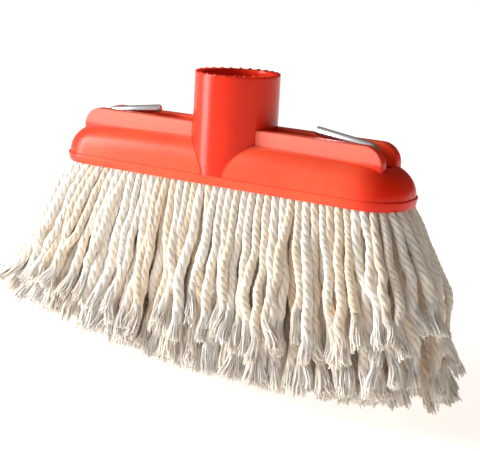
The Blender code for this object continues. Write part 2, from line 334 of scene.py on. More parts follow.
def past(squared, low, high):
    """Run from 0 to 1 as the root of a squared length goes from low to high millimetres."""
    return squared.between(low ** 2 * 1e-6, high ** 2 * 1e-6)


def above(z, low, high):
    """Run from 0 to 1 as a height over the head's underside goes from low to high millimetres."""
    return z.between((BASE_Z + low) * MM, (BASE_Z + high) * MM)


def plastic_material(settings):
    """Orange moulded plastic: satin, with faint scuffs, a matt speckled grain on the ridges, and
    painted sheen: a paler colour across the middle of the base and, with the whitened grain, on the
    ridge flanks.
    """
    material, nodes, shader = new_material("moulded_plastic")
    place = nodes.get("ShaderNodeTexCoord", None, None, 3)
    split = nodes.add("ShaderNodeSeparateXYZ", None, {0: place})
    x, y, z = (Value(nodes, split.outputs[i]) for i in range(3))
    base = settings.plastic_colour
    deep = colour([c * f for c, f in zip(base, (0.93, 0.75, 0.85))])
    # Painted sheen: this paler, more orange colour is laid across the middle of the base in place
    # of the soft highlight there.
    pale = (min(1.0, base[0] * 1.1), base[1] + 0.14, base[2] + 0.06, 1.0)
    # This whiter colour marks the scuffs, and on the ridge flanks both the whitened matt grain and
    # a painted sheen.
    chalk_and_sheen = (min(1.0, base[0] * 1.14), base[1] + 0.225, base[2] + 0.19, 1.0)
    flow = nodes.noise(place, 55.0, 3.0, 0.55)
    grain = nodes.noise(place, 2600.0, 2.0, 0.6)
    speck = nodes.noise(place, 1500.0, 2.0).between(0.50, 0.72)
    streak = nodes.vector("MULTIPLY", place, (1.0, 1.0, 3.0))
    scuff = nodes.noise(streak, 260.0, 4.0, 0.7).between(0.54, 0.74)
    socket = 1.0 - past(x * x + y * y, SOCKET_RADIUS + 0.15, SOCKET_RADIUS + 0.6)
    socket = socket * above(z, 3.2, 3.8)
    outside = RIDGE_MIDDLE + RIDGE_HALF_THICKNESS
    flank = past(y * y, outside - 0.6, outside - 0.2) * above(z, 14.0, 15.5)
    flank = flank * (1.0 - socket)
    # Where the painted sheen goes: the middle of the base, away from its ends and the socket.
    painted_sheen_mask = (1.0 - past(x * x, 50.0, 64.0)) * (1.0 - socket)
    body = nodes.mix(flow.between(0.3, 0.7), deep, colour(base))
    body = nodes.mix(painted_sheen_mask * (0.2 + 0.4 * flow), body, pale)
    # Ridge flanks: whitened matt grain, partly painted sheen.
    body = nodes.mix(flank * (0.5 + speck * 0.22), body, chalk_and_sheen)
    body = nodes.mix(scuff * 0.08 * (1.0 - socket * 0.8), body, chalk_and_sheen)
    rough = settings.plastic_roughness - 0.04 + flow * 0.05 + scuff * 0.05
    rough = rough + flank * 0.22 - socket * 0.08
    height = grain * (0.3 + flank * 0.9) + speck * (0.2 + flank * 0.8) + flow * 0.5
    nodes.feed(shader, {
        "Base Color": body, "Roughness": rough, "Normal": nodes.bump(0.22, 0.00012, height),
        "IOR": 1.5, "Specular IOR Level": 0.26,
    })
    return material


def wire_material(settings):
    """Galvanised wire: grey zinc with faint spangle and drawing lines along it."""
    material, nodes, shader = new_material("galvanised_steel")
    place = nodes.get("ShaderNodeTexCoord", None, None, 3)
    stretched = nodes.vector("MULTIPLY", place, (60.0, 2600.0, 2600.0))
    lines = nodes.noise(stretched, 1.0, 3.0, 0.6)
    spangle = nodes.noise(place, 300.0, 2.0, 0.5)
    dull = spangle.between(0.45, 0.7)
    dark = colour([c * 0.62 for c in settings.wire_colour])
    body = nodes.mix(dull * 0.3 + lines * 0.12, colour(settings.wire_colour), dark)
    nodes.feed(shader, {
        "Base Color": body, "Roughness": 0.24 + dull * 0.10 + lines * 0.05,
        "Normal": nodes.bump(0.1, 0.00004, lines + spangle * 0.5), "Metallic": 1.0,
    })
    return material


def cotton_material(settings):
    """Undyed cotton yarn: fibres along each ply, a tone for each string and a few brown flecks."""
    material, nodes, shader = new_material("undyed_cotton")
    place = nodes.get("ShaderNodeTexCoord", None, None, 3)
    tone, run, turn_x, turn_y, open_end = (
        nodes.attribute(name) for name in ("tone", "run", "turn_x", "turn_y", "open_end")
    )
    along = nodes.join(turn_x * 2.6, turn_y * 2.6, run * 150.0 + tone * 90.0)
    fibre = nodes.noise(along, 3.2, 3.0, 0.65)
    patch = nodes.noise(place, 130.0, 2.0, 0.5)
    fleck = nodes.noise(place, 620.0, 2.0, 0.5).between(0.70, 0.76)
    share = (tone * 0.45 + patch * 0.35 + fibre * 0.4).between(0.2, 0.85)
    open_colour = (0.95, 0.87, 0.775, 1.0)
    fleck_colour = (0.36, 0.24, 0.13, 1.0)
    body = nodes.mix(share, colour(settings.dark_colour), colour(settings.light_colour))
    body = nodes.mix(open_end * 0.65, body, open_colour)
    body = nodes.mix(fleck * 0.5, body, fleck_colour)
    nodes.feed(shader, {
        "Base Color": body, "Normal": nodes.bump(0.6, 0.00014, fibre), "Roughness": 0.95,
        "Subsurface Weight": 0.5, "Subsurface Radius": (1.0, 0.72, 0.5),
        "Subsurface Scale": 0.0016, "Sheen Weight": 0.3, "Sheen Roughness": 0.5,
        "Specular IOR Level": 0.2,
    })
    return material


def rounded_ring(half_x, half_y, radius, height, steps=14, spans=16):
    """List the points round a rounded rectangle, with its long sides divided into spans."""
    points = []
    for sign_x, sign_y, start in ((1, 1, 0), (-1, 1, 90), (-1, -1, 180), (1, -1, 270)):
        for step in range(steps + 1):
            angle = math.radians(start + 90.0 * step / steps)
            x = sign_x * (half_x - radius) + radius * math.cos(angle)
            y = sign_y * (half_y - radius) + radius * math.sin(angle)
            points.append((x, y, height + BASE_Z))
        if sign_x == sign_y:
            end = (half_x - radius) * sign_x
            for i in range(1, spans):
                points.append((end - 2 * end * i / spans, sign_y * half_y, height + BASE_Z))
    return points


def bowed(ring, share):
    """Lower a ring towards its ends, so that the base is highest in the middle."""
    return [(x, y, z - share * DECK_BOW * (x / RIDGE_END) ** 2) for x, y, z in ring]


def loft(rings):
    """Join rings with equal numbers of points, and cap both ends."""
    count = len(rings[0])
    vertices = [point for ring in rings for point in ring]
    last = (len(rings) - 1) * count
    faces = [tuple(range(count)), tuple(last + i for i in range(count))]
    for level in range(len(rings) - 1):
        low = level * count
        high = low + count
        for i in range(count):
            j = (i + 1) % count
            faces.append((low + i, low + j, high + j, high + i))
    return vertices, faces


def make_mesh(name, shapes, materials=(), sharp=40.0):
    """Make one smooth-shaded mesh object from closed shapes in millimetres."""
    build = bmesh.new()
    for vertices, faces in shapes:
        made = [build.verts.new(Vector(v) * MM) for v in vertices]
        for face in faces:
            build.faces.new([made[i] for i in face])
    bmesh.ops.recalc_face_normals(build, faces=build.faces)
    return finish_mesh(name, build, materials, sharp)


def finish_mesh(name, build, materials=(), sharp=40.0):
    """Shade a bmesh smooth up to an angle and put it in the scene."""
    limit = math.radians(sharp)
    for face in build.faces:
        face.smooth = True
    for edge in build.edges:
        edge.smooth = len(edge.link_faces) == 2 and edge.calc_face_angle(0.0) < limit
    mesh = bpy.data.meshes.new(name)
    build.to_mesh(mesh)
    build.free()
    for material in materials:
        mesh.materials.append(material)
    piece = bpy.data.objects.new(name, mesh)
    bpy.context.scene.collection.objects.link(piece)
    return piece


def cut(piece, tools):
    """Take shapes out of a piece with an exact Boolean."""
    for tool in tools:
        step = piece.modifiers.new("cut", "BOOLEAN")
        step.operation = "DIFFERENCE"
        step.solver = "EXACT"
        step.object = tool
    graph = bpy.context.evaluated_depsgraph_get()
    piece.data = bpy.data.meshes.new_from_object(piece.evaluated_get(graph))
    piece.modifiers.clear()
    for tool in tools:
        bpy.data.objects.remove(tool, do_unlink=True)


def hollow_rings(bottom):
    """List the rings of the hollow under the base."""
    half_x, half_y, radius = HALF_LENGTH - WALL, HALF_WIDTH - WALL, CORNER_RADIUS - WALL
    rings = [rounded_ring(half_x, half_y, radius, bottom)]
    low = ROOF_HEIGHT * 0.4
    for step in range(9):
        turn = math.radians(90.0 * step / 8)
        inset = 1.0 - math.cos(turn)
        rings.append(rounded_ring(
            half_x - ROOF_END_INSET * inset, half_y - ROOF_SIDE_INSET * inset,
            radius * (1.0 - 0.5 * inset), low + (ROOF_HEIGHT - low) * math.sin(turn),
        ))
    return rings


def base_shape():
    """Make the base: a lip, a parting step and a bowed shoulder outside, and a hollow inside."""
    rings = list(reversed(hollow_rings(0.0)))
    foot = ((0.8, 0.0), (0.52, 0.12), (0.4, 0.4))
    lip = ((0.0, 3.0), (0.05, 3.2), (0.18, 3.34), (LIP_STEP, 3.5))
    for inset, height in foot + lip:
        rings.append(rounded_ring(HALF_LENGTH - inset, HALF_WIDTH - inset, CORNER_RADIUS, height))
    for step in range(25):
        turn = math.radians(90.0 * step / 24)
        inset, share = 1.0 - math.cos(turn), math.sin(turn)
        ring = rounded_ring(
            HALF_LENGTH - LIP_STEP - SHOULDER_END_INSET * inset,
            HALF_WIDTH - LIP_STEP - SHOULDER_SIDE_INSET * inset,
            CORNER_RADIUS * (1.0 - 0.5 * inset), LIP_HEIGHT + SHOULDER_RISE * share,
        )
        rings.append(bowed(ring, share))
    vertices, faces = loft(rings)
    count = len(rings[0])
    last = len(vertices) - 1
    top = len(vertices) - count
    # The bowed top is covered by strips across it, in place of one face with many corners.
    faces[1:2] = [(top + i, top + i + 1, last - i - 1, last - i) for i in range(count // 2 - 1)]
    return vertices, faces


def ridge_shape(end, side, radius):
    """Make half of one ridge, from inside the socket's wall to its rounded outer end."""
    middle = side * RIDGE_MIDDLE
    half_width = RIDGE_HALF_THICKNESS

    def outline(inset):
        points = [(RIDGE_START, RIDGE_FOOT), (RIDGE_START, RIDGE_TOP - inset)]
        for step in range(15):
            turn = math.radians(90.0 - 90.0 * step / 14)
            reach = RIDGE_END_RADIUS - inset
            x = RIDGE_END - RIDGE_END_RADIUS + reach * math.cos(turn)
            points.append((x, RIDGE_TOP - RIDGE_END_RADIUS + reach * math.sin(turn)))
        points.append((RIDGE_END - inset, RIDGE_FOOT))
        return points

    half = [(0.0, half_width - radius)]
    for step in range(1, 7):
        turn = math.radians(90.0 * step / 6)
        y = half_width - radius + radius * math.sin(turn)
        half.append((radius * (1.0 - math.cos(turn)), y))
    half.append((radius + 0.25, half_width))
    both = [(inset, -y) for inset, y in reversed(half)] + half
    rings = []
    for inset, y in both:
        rings.append([(end * x, middle + y, z + BASE_Z) for x, z in outline(inset)])
    return loft(rings)


def socket_shape():
    """Make the handle socket as a turned wall with low teeth round its rim."""
    tooth = (0.0, 0.0, 0.0, 0.0, 0.6, 1.0, 0.6, 0.0, 0.0, 0.0)
    count = TOOTH_COUNT * len(tooth)
    top = SOCKET_HEIGHT
    outer = (
        (0.12, 2.9, 0), (0.06, 20.0, 0), (0.02, top - 1.4, 0), (0.0, top - 0.75, 0),
        (-0.02, top - 0.35, 1), (-0.12, top - 0.1, 1), (-0.35, top, 1),
    )
    inner = (
        (0.4, top, 1), (0.12, top - 0.12, 1), (0.0, top - 0.5, 0), (-0.02, top - 1.5, 0),
        (-0.3, 14.4, 0), (-0.6, 13.8, 0), (-1.2, 13.6, 0),
    )
    wall = [(SOCKET_RADIUS + step, height, lifts) for step, height, lifts in outer]
    wall += [(BORE_RADIUS + step, height, lifts) for step, height, lifts in inner]
    rings = []
    for radius, height, lifts in wall:
        ring = []
        for i in range(count):
            turn = 2 * math.pi * i / count
            lift = TOOTH_HEIGHT * tooth[i % len(tooth)] if lifts else 0.0
            ring.append((radius * math.cos(turn), radius * math.sin(turn), height + lift + BASE_Z))
        rings.append(ring)
    return loft(rings)


def slot_shape(side):
    """Make the upright hole that one end of the wire comes up through."""
    low, high = sorted((side * SLOT_NEAR, side * SLOT_FAR))
    half = SLOT_HALF_WIDTH
    outline = ((low, -half), (high, -half), (high, half), (low, half))
    return loft([[(x, y, z + BASE_Z) for x, y in outline] for z in (5.0, 20.0)])


def wire_points():
    """Give the wire's centreline, with its bends rounded, in millimetres."""
    bend_height = WIRE_TIP_HEIGHT - WIRE_TIP_SLOPE * (WIRE_LEG - WIRE_TIP)
    half = [(WIRE_TIP, WIRE_TIP_HEIGHT), (WIRE_LEG, bend_height), (WIRE_LEG, WIRE_BOTTOM)]
    corners = [Vector((-x, 0.0, z + BASE_Z)) for x, z in half]
    corners += [Vector((x, 0.0, z + BASE_Z)) for x, z in reversed(half)]
    path = [corners[0]]
    for before, here, after in zip(corners, corners[1:], corners[2:]):
        back = (before - here).normalized()
        ahead = (after - here).normalized()
        half_turn = back.angle(ahead) / 2
        centre = here + (back + ahead).normalized() * WIRE_BEND_RADIUS / math.sin(half_turn)
        first = here + back * WIRE_BEND_RADIUS / math.tan(half_turn) - centre
        last = here + ahead * WIRE_BEND_RADIUS / math.tan(half_turn) - centre
        for step in range(13):
            path.append(centre + first.slerp(last, step / 12).normalized() * WIRE_BEND_RADIUS)
    return path + [corners[-1]]


def wire_shape(count=28):
    """Sweep the wire along its centreline, with sheared and slightly burred ends."""
    path = wire_points()
    side = Vector((0.0, 1.0, 0.0))
    turns = [2 * math.pi * k / count for k in range(count)]
    burr = ((0.3, 0.32), (0.62, 0.26), (0.8, 0.02), (0.94, -0.02), (1.0, 0.1))
    rings = []
    last = len(path) - 1
    for i, point in enumerate(path):
        ahead = (path[min(i + 1, last)] - point).normalized()
        behind = (point - path[max(i - 1, 0)]).normalized()
        run = (ahead + behind).normalized()
        lift = run.cross(side).normalized()
        steps = [(1.0, 0.0)]
        if i == 0:
            steps = burr
        elif i == last:
            steps = [(scale, -shift) for scale, shift in reversed(burr)]
        for scale, shift in steps:
            centre = point + run * shift
            rings.append([
                tuple(centre + (side * math.cos(t) + lift * math.sin(t)) * WIRE_RADIUS * scale)
                for t in turns
            ])
    return loft(rings)


def string_tree(material):
    """Make the geometry nodes that turn centrelines into twisted strings with frayed ends."""
    tree = bpy.data.node_groups.new("twisted_strings", "GeometryNodeTree")
    nodes = Nodes(tree)
    kinds = (
        ("Centrelines", "NodeSocketGeometry", None), ("Plies", "NodeSocketInt", 4),
        ("Radius", "NodeSocketFloat", 0.0017), ("Ply Radius", "NodeSocketFloat", 0.00088),
        ("Lay", "NodeSocketFloat", 0.0115), ("Step", "NodeSocketFloat", 0.0013),
        ("Sides", "NodeSocketInt", 6), ("Fray Length", "NodeSocketFloat", 0.015),
        ("Fray Strands", "NodeSocketInt", 14), ("Fray Spread", "NodeSocketFloat", 0.0010),
    )
    for name, kind, default in kinds:
        socket = tree.interface.new_socket(name, in_out="INPUT", socket_type=kind)
        if default is not None:
            socket.default_value = default
    tree.interface.new_socket("Strings", in_out="OUTPUT", socket_type="NodeSocketGeometry")
    start = nodes.add("NodeGroupInput")
    given = {name: Value(nodes, start.outputs[name]) for name, _, _ in kinds}

    def named(name):
        return nodes.get("GeometryNodeInputNamedAttribute", {"data_type": "FLOAT"}, {"Name": name})

    def store(shape, name, value):
        settings = {"data_type": "FLOAT", "domain": "POINT"}
        return nodes.get("GeometryNodeStoreNamedAttribute", settings, {0: shape, 2: name, 3: value})

    def offset(radius, angle):
        normal = nodes.get("GeometryNodeInputNormal")
        tangent = nodes.get("GeometryNodeInputTangent")
        across = nodes.vector("CROSS_PRODUCT", tangent, normal)
        first = nodes.vector("SCALE", normal, radius * angle.cos())
        second = nodes.vector("SCALE", across, radius * angle.sin())
        return nodes.vector("ADD", first, second)

    def sweep(shape, radius, sides):
        inputs = {"Resolution": sides, "Radius": 1.0}
        circle = nodes.get("GeometryNodeCurvePrimitiveCircle", {"mode": "RADIUS"}, inputs)
        turn = nodes.get("GeometryNodeSplineParameter") * (2 * math.pi)
        circle = store(store(circle, "turn_x", turn.cos()), "turn_y", turn.sin())
        inputs = {"Curve": shape, "Profile Curve": circle, "Scale": radius, "Fill Caps": True}
        return nodes.get("GeometryNodeCurveToMesh", None, inputs)

    def place(shape, shift):
        return nodes.get("GeometryNodeSetPosition", None, {"Geometry": shape, "Offset": shift})

    lines = nodes.get("GeometryNodeMeshToCurve", None, {0: given["Centrelines"]})
    lines = nodes.get("GeometryNodeResampleCurve", {"mode": "LENGTH"}, {
        "Curve": lines, "Length": given["Step"],
    })
    run = nodes.get("GeometryNodeSplineParameter", None, None, 1)
    lines = store(lines, "run", run)
    left = nodes.get("GeometryNodeSplineLength")
    left = left - nodes.get("GeometryNodeSplineParameter", None, None, 1)
    lines = store(lines, "left", left)
    fray = 1.0 - (named("left") / given["Fray Length"]).between(0.0, 1.0)
    lines = store(lines, "open_end", fray)

    plies = nodes.add("GeometryNodeDuplicateElements", {"domain": "SPLINE"}, {
        "Geometry": lines, "Amount": given["Plies"],
    })
    ply = Value(nodes, plies.outputs[1])
    wound = named("run") - named("open_end") * given["Fray Length"] * 0.4
    turns = wound / (given["Lay"] * named("loose")) + ply / given["Plies"] + named("phase")
    twist = turns * (-2 * math.pi)
    along = nodes.get("GeometryNodeSplineParameter")
    bulk = (0.86 + along * 0.34) * (0.88 + named("phase") * 0.24)
    opened = 1.0 + named("open_end") ** 1.5 * named("fray") * 0.7
    reach = (given["Radius"] - given["Ply Radius"]) * bulk * opened
    shape = place(Value(nodes, plies.outputs[0]), offset(reach, twist))
    slub = nodes.get("ShaderNodeTexNoise", {"noise_dimensions": "1D"}, {
        "W": named("run") * 260.0 + named("phase") * 97.0, "Scale": 1.0, "Detail": 1.0,
    })
    thinned = 1.0 - named("open_end") ** 1.3 * 0.72
    thick = given["Ply Radius"] * bulk * (0.86 + slub * 0.3) * thinned
    shape = sweep(shape, thick, given["Sides"])

    whole = nodes.get("GeometryNodeSplineLength")
    ends = nodes.get("GeometryNodeTrimCurve", {"mode": "LENGTH"}, {
        "Curve": lines, 4: whole - given["Fray Length"] * 0.92, 5: whole,
    })
    ends = nodes.get("GeometryNodeResampleCurve", {"mode": "COUNT"}, {"Curve": ends, "Count": 6})
    strands = nodes.add("GeometryNodeDuplicateElements", {"domain": "SPLINE"}, {
        "Geometry": ends, "Amount": given["Fray Strands"],
    })
    strand = Value(nodes, strands.outputs[1])
    key = strand * 37.0 + named("phase") * 9973.0

    def chance(seed, low, high):
        inputs = {2: low, 3: high, "ID": key, "Seed": seed}
        return nodes.get("FunctionNodeRandomValue", {"data_type": "FLOAT"}, inputs, 1)

    far = nodes.get("GeometryNodeSplineParameter")
    angle = chance(1, 0.0, 2 * math.pi) + far * chance(2, -0.6, 0.6)
    packed = given["Radius"] * bulk * chance(3, 0.1, 1.0) ** 0.6
    strayed = given["Fray Spread"] * named("fray") * chance(4, 0.0, 1.0) * far ** 1.6
    tangent = nodes.get("GeometryNodeInputTangent")
    shorten = nodes.vector("SCALE", tangent, far * chance(5, -0.0030, 0.0012))
    wobble = nodes.get("ShaderNodeTexNoise", None, {
        "Vector": nodes.join(far * 2.2, chance(6, 0.0, 60.0), named("phase") * 50.0),
        "Scale": 1.0, "Detail": 1.0,
    }, 1)
    wobble = nodes.vector("SCALE", nodes.vector("SUBTRACT", wobble, (0.5, 0.5, 0.5)), far * 0.0013)
    shift = nodes.vector("ADD", offset(packed + strayed, angle), shorten)
    shift = nodes.vector("ADD", shift, wobble)
    loose = place(Value(nodes, strands.outputs[0]), shift)
    thin = chance(7, 0.00029, 0.00050) * (1.0 - far ** 3.0 * 0.4)
    strand_sides = 3
    loose = sweep(loose, thin, strand_sides)

    both = nodes.add("GeometryNodeJoinGeometry")
    tree.links.new(loose.socket, both.inputs[0])
    tree.links.new(shape.socket, both.inputs[0])
    done = nodes.get("GeometryNodeSetShadeSmooth", None, {0: Value(nodes, both.outputs[0])})
    done = nodes.get("GeometryNodeRealizeInstances", None, {0: done})
    done = nodes.get("GeometryNodeSetMaterial", None, {0: done, "Material": material})
    nodes.add("NodeGroupOutput", None, {0: done})
    return tree


class Leg:
    """One hanging leg of a string: the points it follows and how it varies."""

    def __init__(self, points, chance):
        self.points = points
        self.tone = float(chance.random())
        self.phase = float(chance.random())
        self.fray = float(0.45 + 0.7 * chance.random())
        self.loose = float(0.8 + 0.75 * chance.random() ** 1.3)


def hang(top, foot, drop, chance, bulge=0.5, kick=0.1):
    """Lay one leg from inside the head to its foot, out under the rim and down in a slack line.

    bulge is how early the leg moves outward, and kick how much of that comes at its very end.
    """
    top = np.array(top, float)
    foot = np.array(foot, float)
    share = np.linspace(0.0, 1.0, LEG_POINTS)
    out = (1.0 - kick) * share * (1.0 + bulge * (1.0 - share)) + kick * share ** 5
    along = top[None, :] + (foot - top)[None, :] * out[:, None]
    waves = np.zeros((LEG_POINTS, 2))
    for size, rate in WAVES:
        for axis in range(2):
            start = chance.random() * 2 * math.pi
            amount = size * (0.4 + chance.random()) * (1.0 if axis == 0 else 0.7)
            turn = 2 * math.pi * rate * share + start
            waves[:, axis] += amount * (np.sin(turn) - math.sin(start))
    along += waves * (share ** 0.7)[:, None]
    below = np.column_stack([along, BASE_Z - 0.3 - min(drop, LONGEST_DROP) * share])
    lean = 0.03
    inward = -top / max(1e-6, float(np.linalg.norm(top * (lean, 1.0))))
    depths = np.array(PULL_DEPTHS)
    inner = np.column_stack([
        top[0] + depths * inward[0] * lean, top[1] + depths * inward[1],
        BASE_Z + np.array(PULL_HEIGHTS),
    ])
    return Leg(np.vstack([inner, below]), chance)


def trimmed(x, y):
    """Give how far below the head the cut ends reach: least at the ends and along the front."""
    lowest_x, front_y, front_drop, slope = 15.0, -26.0, 64.5, 0.45
    curve = 0.0012 if x < lowest_x else 0.0018
    drop = front_drop - curve * (x - lowest_x) ** 2 + slope * (y - front_y)
    return min(LONGEST_DROP, drop)


def rim_place(run, corners, straights, radius):
    """Find one place and its outward direction, a distance along a rounded rectangle."""
    arc = radius * math.pi / 2
    for (x, y, start), straight in zip(corners, straights):
        if run < straight + arc:
            turn = math.radians(start)
            back = (0.0, 0.0)
            if run < straight:
                shift = straight - run
                back = (math.sin(turn) * shift, -math.cos(turn) * shift)
            else:
                turn += (run - straight) / radius
            out = (math.cos(turn), math.sin(turn))
            return (x + out[0] * radius + back[0], y + out[1] * radius + back[1]), out
        run -= straight + arc
    raise ValueError("the place is past the end of the outline")


def rim_places(half_x, half_y, radius, pitch):
    """List places at an even pitch round a rounded rectangle, each with its outward direction."""
    side_x, side_y = half_x - radius, half_y - radius
    total = 4 * (side_x + side_y) + 2 * math.pi * radius
    count = round(total / pitch)
    corners = (
        (side_x, -side_y, -90), (side_x, side_y, 0), (-side_x, side_y, 90), (-side_x, -side_y, 180),
    )
    straights = (2 * side_x, 2 * side_y, 2 * side_x, 2 * side_y)
    return [rim_place((i + 0.5) * total / count, corners, straights, radius) for i in range(count)]


def spread(x, left, right):
    """Give how far a foot lies beyond its top along the head."""
    reach = left if x < 0 else right
    return math.copysign(reach * (abs(x) / CORE_TOP_X) ** 1.5, x)


def bunch_number(place, half_length, count):
    """Give the number of the bunch that a place along a row of bunches falls in."""
    index = int((place + half_length) / (2 * half_length) * count)
    return min(max(index, 0), count - 1)


def outer_legs(chance):
    """Lay the swinging legs all round the head, three rows deep, and sort them into bunches."""
    counts = {"front": SIDE_BUNCHES, "back": SIDE_BUNCHES, "left_end": END_BUNCHES}
    counts["right_end"] = END_BUNCHES
    groups = {name: [[] for _ in range(count)] for name, count in counts.items()}
    for row, (end_inset, inset, pitch, swell, share) in enumerate(RIM_ROWS):
        clump, held, short = 0.0, 0, 0.0
        outline = (HALF_LENGTH - end_inset, HALF_WIDTH - inset, CORNER_RADIUS - inset)
        for (x, y), (out_x, out_y) in rim_places(*outline, pitch):
            if held == 0:
                clump, held = chance.normal(0.0, 1.0), int(chance.integers(2, 5))
                short = chance.uniform(0.0, 6.0)
            held -= 1
            end = abs(out_x)
            flare = (3.0 if x < 0 else 2.5) * out_x * share
            reach = spread(x, LEFT_SPREAD, RIM_RIGHT_SPREAD) * (0.9 + 0.1 * share)
            foot_x = x + reach + flare + clump * (1.0 - end)
            foot_y = y + out_y * swell + y * 0.5 * end + clump * end + chance.normal(0.0, 1.0)
            drop = trimmed(foot_x, foot_y) - chance.uniform(0.0, 3.0)
            if row == 0 and y < 8.0:
                cut_short = chance.uniform(3.0, 11.0) if x > 0 else chance.uniform(0.0, 3.0)
                drop -= 2.0 + short + cut_short
            if x > 0:
                drop -= end ** 2 * chance.uniform(0.0, 12.0)
            bulge = 0.5 + 0.7 * end
            kick = 0.2 + 0.35 * end if x < 0 else 0.1 + 0.2 * end
            foot = (foot_x + chance.normal(0.0, 0.8), foot_y)
            leg = hang((x, y), foot, drop, chance, bulge, kick)
            if end > END_DIRECTION:
                bunches = groups["left_end" if x < 0 else "right_end"]
                bunches[bunch_number(y, CORE_TOP_Y, END_BUNCHES)].append(leg)
            else:
                bunches = groups["front" if y < 0 else "back"]
                bunches[bunch_number(x, CORE_TOP_X, SIDE_BUNCHES)].append(leg)
    return groups


def core_legs(chance):
    """Lay the legs of the strings folded over the wire, three rows each side, by bunch."""
    bunches = [[] for _ in range(CORE_BUNCHES)]
    count = 3 * CORE_BUNCHES
    for side in (-1, 1):
        for row, (depth, foot_depth) in enumerate(CORE_ROWS):
            for number in range(count):
                x = -CORE_TOP_X + 2 * CORE_TOP_X * (number + 0.35 + 0.3 * (row % 2)) / count
                foot_x = x + spread(x, LEFT_SPREAD, CORE_RIGHT_SPREAD) + chance.normal(0.0, 1.4)
                foot = (foot_x, side * (foot_depth + chance.normal(0.0, 1.2)))
                drop = trimmed(*foot) - chance.uniform(0.0, 3.0)
                leg = hang((x * 0.985, side * depth), foot, drop, chance)
                bunches[number // 3].append(leg)
    return bunches


def centreline_object(name, legs):
    """Make a mesh of open lines, one for each leg, with its own values on its points."""
    mesh = bpy.data.meshes.new(name)
    points = np.vstack([leg.points for leg in legs]) * MM
    edges = []
    start = 0
    for leg in legs:
        edges += [(start + i, start + i + 1) for i in range(len(leg.points) - 1)]
        start += len(leg.points)
    mesh.from_pydata(points.tolist(), edges, [])
    for key in ("tone", "phase", "fray", "loose"):
        layer = mesh.attributes.new(key, "FLOAT", "POINT")
        values = [[getattr(leg, key)] * len(leg.points) for leg in legs]
        layer.data.foreach_set("value", np.concatenate(values))
    item = bpy.data.objects.new(name, mesh)
    bpy.context.scene.collection.objects.link(item)
    return item


def spin(name, legs, tree, settings, detail):
    """Run the geometry nodes on some legs and give the strings as a plain mesh object."""
    source = centreline_object(name + "_lines", legs)
    step = source.modifiers.new("strings", "NODES")
    step.node_group = tree
    values = {
        "Plies": settings.plies, "Radius": settings.diameter / 2,
        "Ply Radius": settings.diameter * PLY_SHARE, "Lay": settings.lay,
        "Fray Length": settings.fray_length, **detail,
    }
    for item in tree.interface.items_tree:
        if item.in_out == "INPUT" and item.name in values:
            step[item.identifier] = values[item.name]
    graph = bpy.context.evaluated_depsgraph_get()
    mesh = bpy.data.meshes.new_from_object(source.evaluated_get(graph))
    mesh.name = name
    piece = bpy.data.objects.new(name, mesh)
    bpy.context.scene.collection.objects.link(piece)
    bpy.data.objects.remove(source, do_unlink=True)
    return piece


def bend_at_rim(piece):
    """Bake the piece's placement into its mesh."""
    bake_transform(piece)


